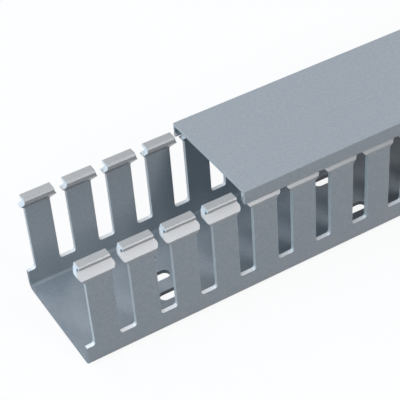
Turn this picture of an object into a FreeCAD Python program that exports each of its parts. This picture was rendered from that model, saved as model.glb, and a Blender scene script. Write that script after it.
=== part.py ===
import FreeCAD, Part
import math
import os

# Slotted wiring duct: a one-piece channel of grey rigid PVC with slotted walls, and its snap-on cover.
# Millimetres, X along the duct, Z up. The origin is the centre of the channel's underside.

# Channel section
length = 500.0
width = 59.0
height = 54.6
wall = 2.1
floor_thickness = 2.1
outer_corner_radius = 3.7
inner_corner_radius = 1.6

# Slots, each cut through both walls in one stroke
slot_pitch = 20.0
slot_width = 8.0
slot_bottom = 11.1
slot_corner_radius = 1.4

# Snap head on top of each finger, as a section across the duct: the ramp that leans in, a groove, and a lip
head_depth = 6.75
head_back_thickness = 3.1
head_back_bevel = 0.9
lip_setback = 1.4
lip_thickness = 1.8
lip_bevel = 0.5
groove_end_height = 0.55
ramp_angle = 48.0
ramp_thickness = 2.5

# Snap head seen from the side: gaps between neighbouring heads, the nose's before its rounding,
# and heights measured from the ramp's foot
lip_gap = 5.8
nose_gap = 2.4
nose_rise = 1.4
nose_radius = 1.5
head_foot_drop = 1.95

# Cover: a plate with a flange along each edge, flush with the walls, and a hook that fills the heads' groove
cover_length = length
cover_thickness = 1.6
cover_gap = 1.2
bare_ramp_height = 2.0
snap_clearance = 0.3
hook_tip_radius = 0.2
cover_edge_radius = 0.5
flange_edge_radius = 0.5
cover_set_back = 80.0

# Long holes in the floor, in groups of three side by side
hole_pitch = 100.0
first_hole_from_end = 50.0
hole_length = 12.0
hole_width = 5.5
hole_row_spacing = 12.5

# Cutting tools reach this far past the faces that they cut
over = 1.0

# Points closer together than this are one point
tolerance = 1e-6

# The groove, which the channel and the cover share, and the height at which the ramp below it starts
groove_inset = head_depth - head_back_thickness
lip_underside = height - lip_thickness
ramp_foot = lip_underside - groove_end_height - groove_inset * math.tan(math.radians(ramp_angle))


def rounded_wire(corners):
    """Closed wire through (point, radius) corners; each corner with a radius gets a tangent arc."""
    spans = []
    count = len(corners)
    for index, (point, radius) in enumerate(corners):
        before = corners[index - 1][0]
        after = corners[(index + 1) % count][0]
        if radius == 0:
            spans.append((point, None, point))
            continue
        to_before = (before - point).normalize()
        to_after = (after - point).normalize()
        half_angle = to_before.getAngle(to_after) / 2
        setback = radius / math.tan(half_angle)
        bisector = (to_before + to_after).normalize()
        arc_middle = point + bisector * (radius / math.sin(half_angle) - radius)
        spans.append((point + to_before * setback, arc_middle, point + to_after * setback))
    edges = []
    for index, (start, middle, end) in enumerate(spans):
        if middle is not None:
            edges.append(Part.Arc(start, middle, end).toShape())
        next_start = spans[(index + 1) % count][0]
        if end.distanceToPoint(next_start) > tolerance:
            edges.append(Part.LineSegment(end, next_start).toShape())
    return Part.Wire(edges)


def extrude_section(half_section, start, end):
    """Solid along X from one side of its section, given as (distance from the middle, height, radius).

    The other side is its mirror image, and two stretches across the middle close the outline.
    """
    right = [(FreeCAD.Vector(start, y, z), radius) for y, z, radius in half_section]
    left = [(FreeCAD.Vector(start, -y, z), radius) for y, z, radius in reversed(half_section)]
    face = Part.Face(rounded_wire(right + left))
    return face.extrude(FreeCAD.Vector(end - start, 0, 0))


def ramp_height(inset, clearance=0.0):
    """Height of the ramp at an inset from the wall's outer face, or of a line parallel to it."""
    angle = math.radians(ramp_angle)
    return ramp_foot + inset * math.tan(angle) + clearance / math.cos(angle)


def ramp_inset(z, clearance=0.0):
    """Inset of the ramp at a height, or of a line parallel to it."""
    return (z - ramp_height(0.0, clearance)) / math.tan(math.radians(ramp_angle))


def channel_section():
    """Half section of the channel: floor, wall, ramp, groove and lip, and the way back down inside."""
    outer = width / 2
    return [
        (outer, 0.0, outer_corner_radius),
        (outer, ramp_foot, 0.0),
        (outer - groove_inset, ramp_height(groove_inset), 0.0),
        (outer - groove_inset, lip_underside, 0.0),
        (outer - lip_setback, lip_underside, 0.0),
        (outer - lip_setback, height - lip_bevel, 0.0),
        (outer - lip_setback - lip_bevel, height, 0.0),
        (outer - head_depth + head_back_bevel, height, 0.0),
        (outer - head_depth, height - head_back_bevel, 0.0),
        (outer - head_depth, ramp_height(head_depth, -ramp_thickness), 0.0),
        (outer - wall, ramp_height(wall, -ramp_thickness), 0.0),
        (outer - wall, floor_thickness, inner_corner_radius),
    ]


def slot_outline(center):
    """Outline of one slot in the side view: wide between the fingers, narrow between their heads."""
    right = [
        (slot_width / 2, slot_bottom, slot_corner_radius),
        (slot_width / 2, ramp_foot - head_foot_drop, 0.0),
        (nose_gap / 2, ramp_foot + nose_rise, nose_radius),
        (lip_gap / 2, lip_underside, 0.0),
        (lip_gap / 2, height + over, 0.0),
    ]
    outline = [(center + x, z, radius) for x, z, radius in right]
    outline += [(center - x, z, radius) for x, z, radius in reversed(right)]
    return outline


def slot_cutter(center):
    """Prism that cuts one slot through both walls."""
    y = -width / 2 - over
    corners = [(FreeCAD.Vector(x, y, z), radius) for x, z, radius in slot_outline(center)]
    return Part.Face(rounded_wire(corners)).extrude(FreeCAD.Vector(0, width + 2 * over, 0))


def slot_centers():
    """Slot centres along X; the stock is cut through the middle of a slot at its first end."""
    count = int(length / slot_pitch + tolerance) + 1
    return [-length / 2 + index * slot_pitch for index in range(count)]


def hole_centers():
    """Centres of the groups of floor holes along X."""
    room = length - first_hole_from_end - hole_length / 2
    count = int(room / hole_pitch) + 1
    return [-length / 2 + first_hole_from_end + index * hole_pitch for index in range(count)]


def long_hole_cutter(x, y):
    """Prism with round ends, along X, that cuts one long hole through the floor."""
    radius = hole_width / 2
    reach = hole_length / 2 - radius
    depth = floor_thickness + 2 * over
    ends = [Part.makeCylinder(radius, depth, FreeCAD.Vector(x + side * reach, y, -over)) for side in (-1, 1)]
    corner = FreeCAD.Vector(x - reach, y - radius, -over)
    middle = Part.makeBox(2 * reach, hole_width, depth, corner)
    return middle.fuse(ends).removeSplitter()


def floor_hole_cutters():
    """Each group has one hole on the middle line and one in each outer row."""
    return [long_hole_cutter(x, row * hole_row_spacing) for x in hole_centers() for row in (-1, 0, 1)]


def make_channel():
    stock = extrude_section(channel_section(), -length / 2, length / 2)
    slot_cutters = [slot_cutter(center) for center in slot_centers()]
    return stock.cut(slot_cutters + floor_hole_cutters())


def cover_section():
    """Half section of the cover: plate, flange, and the hook that fills the groove under the lip."""
    outer = width / 2
    underside = height + cover_gap
    flange_bottom = ramp_foot + bare_ramp_height
    flange_thickness = lip_setback - snap_clearance
    hook_reach = groove_inset - snap_clearance
    return [
        (outer, underside + cover_thickness, cover_edge_radius),
        (outer, flange_bottom, flange_edge_radius),
        (outer - ramp_inset(flange_bottom, snap_clearance), flange_bottom, 0.0),
        (outer - hook_reach, ramp_height(hook_reach, snap_clearance), hook_tip_radius),
        (outer - flange_thickness, lip_underside - snap_clearance, 0.0),
        (outer - flange_thickness, underside, flange_edge_radius),
    ]


def make_cover():
    start = -length / 2 + cover_set_back
    return extrude_section(cover_section(), start, start + cover_length)


parts = {
    "slotted_channel": make_channel(),
    "snap_cover": make_cover(),
}

os.makedirs("parts", exist_ok=True)
for name, shape in parts.items():
    solid = shape.Solids[0]
    print(name, "solids", len(shape.Solids), "valid", solid.isValid(), "volume", round(solid.Volume))
    solid.exportStep("parts/" + name + ".step")
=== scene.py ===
import math

import bpy
from mathutils import Matrix, Vector


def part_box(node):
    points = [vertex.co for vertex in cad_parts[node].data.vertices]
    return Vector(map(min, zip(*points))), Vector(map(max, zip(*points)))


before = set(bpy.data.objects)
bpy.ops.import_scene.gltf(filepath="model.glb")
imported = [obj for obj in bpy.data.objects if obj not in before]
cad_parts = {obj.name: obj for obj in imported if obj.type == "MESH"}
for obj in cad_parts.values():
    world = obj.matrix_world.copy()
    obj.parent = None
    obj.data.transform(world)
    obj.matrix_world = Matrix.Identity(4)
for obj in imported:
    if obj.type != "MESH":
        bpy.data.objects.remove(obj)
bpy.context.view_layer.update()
scene = bpy.context.scene

# Everything below is in metres in the part's frame: X along the duct, Z up, the underside on Z = 0
MM = 0.001

# Camera, at the photograph's place and angle
IMAGE_SIZE = 400
FOCAL_PIXELS = 1324.3
SENSOR_WIDTH_MM = 36.0
CAMERA_PLACE = Vector((-0.38509, -0.39244, 0.41113))
CAMERA_AZIMUTH = math.radians(28.13)
CAMERA_ELEVATION = math.radians(40.19)
CAMERA_ROLL = math.radians(-4.72)


def direction(azimuth, elevation):
    """Unit vector that leaves along +Y turned towards +X by azimuth, and rises by elevation."""
    flat = math.cos(elevation)
    return Vector((math.sin(azimuth) * flat, math.cos(azimuth) * flat, math.sin(elevation)))


def make_camera():
    forward = direction(CAMERA_AZIMUTH, -CAMERA_ELEVATION)
    level_right = forward.cross(Vector((0, 0, 1))).normalized()
    level_up = level_right.cross(forward)
    right = math.cos(CAMERA_ROLL) * level_right + math.sin(CAMERA_ROLL) * level_up
    up = right.cross(forward)
    data = bpy.data.cameras.new("photo_camera")
    data.sensor_width = SENSOR_WIDTH_MM
    data.lens = FOCAL_PIXELS * SENSOR_WIDTH_MM / IMAGE_SIZE
    camera = bpy.data.objects.new("photo_camera", data)
    turn = Matrix((right, up, -forward)).transposed().to_4x4()
    camera.matrix_world = Matrix.Translation(CAMERA_PLACE) @ turn
    scene.collection.objects.link(camera)
    scene.camera = camera


class Nodes:
    """Short calls for building a node tree. A value is a number, a colour or another node's output."""

    def __init__(self, tree):
        self.tree = tree
        tree.nodes.clear()

    def add(self, kind, inputs=None, **settings):
        node = self.tree.nodes.new(kind)
        for name, value in settings.items():
            setattr(node, name, value)
        for name, value in (inputs or {}).items():
            self.feed(node.inputs[name], value)
        return node

    def feed(self, socket, value):
        if isinstance(value, bpy.types.NodeSocket):
            self.tree.links.new(value, socket)
        else:
            socket.default_value = value

    def math(self, operation, value, *others):
        """Result of one math node, or of a row of them that takes in the other values one by one."""
        for other in others or [0.0]:
            value = self.add("ShaderNodeMath", {0: value, 1: other}, operation=operation).outputs[0]
        return value

    def ramp(self, value, low, high, to_low=0.0, to_high=1.0):
        """Value between low and high, mapped smoothly to to_low ... to_high."""
        inputs = {"Value": value, "From Min": low, "From Max": high, "To Min": to_low, "To Max": to_high}
        return self.add("ShaderNodeMapRange", inputs, interpolation_type="SMOOTHSTEP").outputs[0]

    def noise(self, place, stretch, scale, detail):
        """Noise from 0 to 1; stretch divides the frequency along each axis."""
        shrink = [1 / factor for factor in stretch]
        shrunk = self.add("ShaderNodeVectorMath", {0: place, 1: shrink}, operation="MULTIPLY").outputs[0]
        inputs = {"Vector": shrunk, "Scale": scale, "Detail": detail}
        return self.add("ShaderNodeTexNoise", inputs).outputs["Fac"]

    def blend(self, factor, first, second):
        """The first colour where factor is 0, and the second where it is 1."""
        mix = self.add("ShaderNodeMix", data_type="RGBA")
        sockets = {socket.identifier: socket for socket in [*mix.inputs, *mix.outputs]}
        self.feed(sockets["Factor_Float"], factor)
        self.feed(sockets["A_Color"], first)
        self.feed(sockets["B_Color"], second)
        return sockets["Result_Color"]

    def seen_directly(self):
        """1 for what the camera sees itself, mirrored or through something clear, and 0 for other light."""
        ray = self.add("ShaderNodeLightPath").outputs
        return self.math("MAXIMUM", ray["Is Camera Ray"], ray["Is Glossy Ray"], ray["Is Transmission Ray"])


def new_material(name):
    material = bpy.data.materials.new(name)
    material.use_nodes = True
    return material, Nodes(material.node_tree)


# Colours of rigid PVC: the extruded skin, a paler painted sheen on the heads, its worn edges with a painted
# highlight, the faces that the punch left, whitened and with a painted highlight that makes them palest in
# the slots' bottoms and between the heads, the sawn ends, and the painted shade of the holes' walls
SKIN_WARM = (0.320, 0.330, 0.343, 1)
SKIN_COOL = (0.270, 0.302, 0.334, 1)
PAINTED_HEAD_SHEEN = (0.40, 0.375, 0.35, 1)
WORN_AND_HIGHLIT_EDGE = (0.40, 0.42, 0.44, 1)
PUNCHED_FACE = (0.55, 0.55, 0.545, 1)
PALE_CUT_AND_HIGHLIGHT = (0.82, 0.82, 0.82, 1)
SAWN_CHANNEL_FACE = (0.20, 0.22, 0.24, 1)
SAWN_COVER_FACE = (0.50, 0.49, 0.48, 1)
HOLE_WALL_SHADE = (0.05, 0.065, 0.08, 1)

# Noises of the skin, each as stretch along X, Y and Z, scale and detail
STREAKS = ((150, 1, 1), 700, 3)
MOTTLE = ((1.3, 1, 1), 800, 3)
GRAIN = ((1, 1, 1), 2600, 2)

# What each noise adds to the tone, the tones of the cool and the warm skin, and the share of the painted
# sheen in the colour of the heads
STREAKS_IN_TONE = 0.06
MOTTLE_IN_TONE = 0.59
GRAIN_IN_TONE = 0.35
COOL_TONE = 0.38
WARM_TONE = 0.62
PAINTED_SHEEN_SHARE = 0.6

# Roughness: the skin's range and the noise it follows, what a cut adds, and that of the rubbed heads
SKIN_ROUGHNESS = (0.39, 0.45)
ROUGHNESS_NOISE = (0.7, 1.3)
CUT_ROUGHNESS = 0.1
RUBBED_ROUGHNESS = 0.275

# Fine relief: what makes it up, its depth, its strength on the walls, and how much less it is on the heads
STREAKS_IN_RELIEF = 0.2
GRAIN_IN_RELIEF = 0.5
RELIEF_DEPTH = 0.02 * MM
RELIEF_STRENGTH = 0.25
RELIEF_LOST_ON_HEADS = 0.17

REFRACTIVE_INDEX = 1.5

# Worn edges with a painted highlight: their reach, how far the rounded normal leaves the plain one there,
# and how patchy the wear is
WEAR_REACH = 0.4 * MM
WEAR_SAMPLES = 4
WEAR_LIKENESS = (0.985, 0.9)
WEAR_NOISE = (0.35, 0.7)
WEAR_STRENGTH = (0.2, 0.6)

# Part of the normal along X or Z from which a face starts to count, and from which it counts in full
ACROSS = (0.6, 0.9)
UPWARD = (0.2, 0.7)
UPRIGHT = (0.6, 0.2)

# Heights on the walls: the slots' bottoms, and the heads' foot with the stretch below it that turns smooth
SLOT_BOTTOM = 11.1 * MM
SLOT_MARGIN = 0.3 * MM
SLOT_CORNER_RADIUS = 1.4 * MM
HEAD_FOOT = 48.2 * MM
HEAD_MARGIN = 1.5 * MM

# Faces this close to a node's end are sawn
END_DEPTH = 0.4 * MM

# The holes in the floor lie within this height and this far from the middle line
FLOOR_TOP = 2.1 * MM
HOLES_REACH = 16.0 * MM


def face_masks(nodes, node, place, normal):
    """Where each kind of face lies, from 0 to 1."""
    spot = nodes.add("ShaderNodeSeparateXYZ", {0: place}).outputs
    facing = nodes.add("ShaderNodeSeparateXYZ", {0: normal}).outputs
    low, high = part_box(node)
    from_middle = nodes.math("ABSOLUTE", nodes.math("SUBTRACT", spot["X"], (low[0] + high[0]) / 2))
    at_end = nodes.math("GREATER_THAN", from_middle, (high[0] - low[0]) / 2 - END_DEPTH)

    # Faces across X are sawn at the ends, and punched where they edge the slots
    across = nodes.ramp(nodes.math("ABSOLUTE", facing["X"]), *ACROSS)
    in_slot = nodes.math("GREATER_THAN", spot["Z"], SLOT_BOTTOM - SLOT_MARGIN)
    near_bottom = nodes.math("LESS_THAN", spot["Z"], SLOT_BOTTOM + SLOT_CORNER_RADIUS)
    sawn = nodes.math("MULTIPLY", across, at_end)
    punched = nodes.math("MULTIPLY", nodes.math("SUBTRACT", across, sawn), in_slot)
    bottom = nodes.math("MULTIPLY", nodes.ramp(facing["Z"], *UPWARD), in_slot, near_bottom)
    on_head = nodes.ramp(spot["Z"], HEAD_FOOT - HEAD_MARGIN, HEAD_FOOT)

    # The walls of the floor's holes are the upright faces within the floor, apart from its own ends
    upright = nodes.ramp(nodes.math("ABSOLUTE", facing["Z"]), *UPRIGHT)
    in_floor = nodes.math("LESS_THAN", spot["Z"], FLOOR_TOP)
    by_middle = nodes.math("LESS_THAN", nodes.math("ABSOLUTE", spot["Y"]), HOLES_REACH)
    hole_wall = nodes.math("MULTIPLY", upright, in_floor, by_middle, nodes.math("SUBTRACT", 1.0, at_end))
    return {"sawn": sawn, "punched": punched, "bottom": bottom, "on_head": on_head, "hole_wall": hole_wall}


def edge_wear_and_highlight(nodes, normal, mottle):
    """Patchy wear and painted highlight from 0 to 1 along the edges, found where a rounded normal leaves
    the plain one.
    """
    rounded = nodes.add("ShaderNodeBevel", {"Radius": WEAR_REACH}, samples=WEAR_SAMPLES).outputs[0]
    dot = nodes.add("ShaderNodeVectorMath", {0: rounded, 1: normal}, operation="DOT_PRODUCT")
    edge = nodes.ramp(dot.outputs["Value"], *WEAR_LIKENESS)
    return nodes.math("MULTIPLY", edge, nodes.ramp(mottle, *WEAR_NOISE, *WEAR_STRENGTH))


def pvc_material(name, node, sawn_face):
    """Grey extruded PVC for one node of the model, whose ends are sawn across X."""
    material, nodes = new_material(name)
    place = nodes.add("ShaderNodeTexCoord").outputs["Object"]
    normal = nodes.add("ShaderNodeNewGeometry").outputs["Normal"]
    streaks = nodes.noise(place, *STREAKS)
    mottle = nodes.noise(place, *MOTTLE)
    grain = nodes.noise(place, *GRAIN)
    mask = face_masks(nodes, node, place, normal)
    on_head = mask["on_head"]
    rubbed_with_sheen = on_head if node == "slotted_channel" else 0.0

    tone = nodes.math(
        "ADD",
        nodes.math("MULTIPLY", streaks, STREAKS_IN_TONE),
        nodes.math("MULTIPLY", mottle, MOTTLE_IN_TONE),
        nodes.math("MULTIPLY", grain, GRAIN_IN_TONE),
    )
    colour = nodes.blend(nodes.ramp(tone, COOL_TONE, WARM_TONE), SKIN_COOL, SKIN_WARM)
    # Painted sheen: the heads of the channel turn paler and warmer
    colour = nodes.blend(nodes.math("MULTIPLY", rubbed_with_sheen, PAINTED_SHEEN_SHARE), colour, PAINTED_HEAD_SHEEN)
    colour = nodes.blend(mask["punched"], colour, PUNCHED_FACE)
    colour = nodes.blend(mask["sawn"], colour, sawn_face)
    # Partly the punch's whitening, partly a painted highlight: the slots' upward bottoms and the heads'
    # punched ends turn pale
    pale_and_highlit = nodes.math("MAXIMUM", mask["bottom"], nodes.math("MULTIPLY", mask["punched"], on_head))
    colour = nodes.blend(pale_and_highlit, colour, PALE_CUT_AND_HIGHLIGHT)
    # Wear and a painted highlight: the convex edges turn lighter in patches
    colour = nodes.blend(edge_wear_and_highlight(nodes, normal, mottle), colour, WORN_AND_HIGHLIT_EDGE)
    # Painted shade: the walls of the floor's holes are painted near black
    colour = nodes.blend(mask["hole_wall"], colour, HOLE_WALL_SHADE)

    cut = nodes.math("MAXIMUM", mask["sawn"], mask["bottom"], mask["punched"])
    rough = nodes.ramp(nodes.math("ADD", grain, mottle), *ROUGHNESS_NOISE, *SKIN_ROUGHNESS)
    rough = nodes.math("ADD", rough, nodes.math("MULTIPLY", cut, CUT_ROUGHNESS))
    rough = nodes.math("MULTIPLY", rough, nodes.math("SUBTRACT", 1.0, rubbed_with_sheen))
    rough = nodes.math("ADD", rough, nodes.math("MULTIPLY", rubbed_with_sheen, RUBBED_ROUGHNESS))

    relief = nodes.math(
        "ADD",
        nodes.math("MULTIPLY", streaks, STREAKS_IN_RELIEF),
        nodes.math("MULTIPLY", grain, GRAIN_IN_RELIEF),
    )
    lost = nodes.math("MULTIPLY", on_head, RELIEF_LOST_ON_HEADS)
    strength = nodes.math("SUBTRACT", RELIEF_STRENGTH, lost)
    bump = nodes.add("ShaderNodeBump", {"Height": relief, "Strength": strength, "Distance": RELIEF_DEPTH})
    looks = {"Base Color": colour, "Roughness": rough, "Normal": bump.outputs[0], "IOR": REFRACTIVE_INDEX}
    shader = nodes.add("ShaderNodeBsdfPrincipled", looks)
    nodes.add("ShaderNodeOutputMaterial", {"Surface": shader.outputs[0]})
    return material


# Edges: the loaded triangles join into whole faces, and the sharp edges between those are rounded
WELD_DISTANCE = 0.001 * MM
FLAT_ANGLE = math.radians(0.5)
EDGE_ROUNDING = 0.15 * MM
EDGE_SEGMENTS = 2
SHARP_ANGLE = math.radians(30)


def soften_edges(piece):
    """Joins the loaded triangles into whole faces, and rounds every sharp edge a little."""
    weld = piece.modifiers.new("weld", "WELD")
    weld.merge_threshold = WELD_DISTANCE
    whole_faces = piece.modifiers.new("whole_faces", "DECIMATE")
    whole_faces.decimate_type = "DISSOLVE"
    whole_faces.angle_limit = FLAT_ANGLE
    bevel = piece.modifiers.new("rounded_edges", "BEVEL")
    bevel.width = EDGE_ROUNDING
    bevel.segments = EDGE_SEGMENTS
    bevel.limit_method = "ANGLE"
    bevel.angle_limit = SHARP_ANGLE
    bevel.use_clamp_overlap = True
    piece.modifiers.new("even_normals", "WEIGHTED_NORMAL")


def dress(node, material):
    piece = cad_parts[node]
    piece.data.materials.clear()
    piece.data.materials.append(material)
    soften_edges(piece)


# Studio
WHITE = (1, 1, 1, 1)
FLOOR_SIZE = 40.0
FLOOR_GLOW = 0.9
FLOOR_PAINT = (0.9, 0.9, 0.9, 1)
FLOOR_BOUNCE = (0.2, 0.2, 0.2, 1)
FLOOR_HEIGHT = -0.1 * MM


def make_floor():
    """White floor that keeps the shadow, throws little light back and is clear from below."""
    half = FLOOR_SIZE / 2
    corners = [(x * half, y * half, FLOOR_HEIGHT) for x, y in ((-1, -1), (1, -1), (1, 1), (-1, 1))]
    mesh = bpy.data.meshes.new("studio_floor")
    mesh.from_pydata(corners, [], [(0, 1, 2, 3)])
    floor = bpy.data.objects.new("studio_floor", mesh)
    scene.collection.objects.link(floor)
    material, nodes = new_material("studio_floor")
    direct = nodes.seen_directly()
    paint = nodes.add("ShaderNodeBsdfDiffuse", {"Color": nodes.blend(direct, FLOOR_BOUNCE, FLOOR_PAINT)})
    glow = nodes.add("ShaderNodeEmission", {"Color": WHITE, "Strength": 1.0})
    share = nodes.math("MULTIPLY", direct, FLOOR_GLOW)
    above = nodes.add("ShaderNodeMixShader", {0: share, 1: paint.outputs[0], 2: glow.outputs[0]})
    from_below = nodes.add("ShaderNodeNewGeometry").outputs["Backfacing"]
    clear = nodes.add("ShaderNodeBsdfTransparent")
    both = nodes.add("ShaderNodeMixShader", {0: from_below, 1: above.outputs[0], 2: clear.outputs[0]})
    nodes.add("ShaderNodeOutputMaterial", {"Surface": both.outputs[0]})
    mesh.materials.append(material)


# Lamps: direction from the aim point, distance, side, power in watts and colour
AIM = Vector((-0.16, 0, 0.03))
LAMPS = {
    "key_softbox": ((0.265, -0.756, 0.616), 1.5, 0.5, 10.3, (0.98, 0.97, 1.0)),
    "top_softbox": ((-0.1, 0.0, 1.0), 1.5, 1.2, 6.3, (1.0, 0.97, 0.96)),
    "back_softbox": ((0.0, 0.66, 0.75), 1.5, 0.8, 3.6, (1.0, 0.95, 0.9)),
    "end_fill": ((-0.86, -0.1, 0.5), 1.6, 1.4, 19.5, (0.55, 0.79, 1.0)),
    "low_back_fill": ((-0.5, 0.75, 0.35), 1.5, 0.9, 5.0, (0.95, 0.9, 1.0)),
    "low_front_fill": ((-0.7, -0.65, 0.35), 1.5, 0.9, 3.0, (0.85, 1.0, 1.0)),
    "far_end_fill": ((0.9, 0.3, 0.35), 1.5, 0.9, 5.0, (0.8, 0.9, 1.0)),
}
FILL_COLOUR = (0.5, 0.8, 1.0, 1)
FILL_STRENGTH = 0.05


def make_lamp(name, towards, distance, side, power, colour):
    """Square area lamp that stands off from the aim point in a direction, and faces it."""
    data = bpy.data.lights.new(name, "AREA")
    data.size = side
    data.energy = power
    data.color = colour
    lamp = bpy.data.objects.new(name, data)
    away = Vector(towards).normalized()
    turn = away.to_track_quat("Z", "Y").to_matrix().to_4x4()
    lamp.matrix_world = Matrix.Translation(AIM + away * distance) @ turn
    scene.collection.objects.link(lamp)


def make_world():
    """White background, with a weak blue fill as its light."""
    world = bpy.data.worlds.new("studio_world")
    world.use_nodes = True
    scene.world = world
    nodes = Nodes(world.node_tree)
    fill = nodes.add("ShaderNodeBackground", {"Color": FILL_COLOUR, "Strength": FILL_STRENGTH})
    white = nodes.add("ShaderNodeBackground", {"Color": WHITE, "Strength": 1.0})
    inputs = {0: nodes.seen_directly(), 1: fill.outputs[0], 2: white.outputs[0]}
    shader = nodes.add("ShaderNodeMixShader", inputs)
    nodes.add("ShaderNodeOutputWorld", {"Surface": shader.outputs[0]})


make_camera()
scene.view_settings.view_transform = "Standard"
make_world()
make_floor()
for name, lamp_settings in LAMPS.items():
    make_lamp(name, *lamp_settings)

dress("slotted_channel", pvc_material("channel_pvc", "slotted_channel", SAWN_CHANNEL_FACE))
dress("snap_cover", pvc_material("cover_pvc", "snap_cover", SAWN_COVER_FACE))
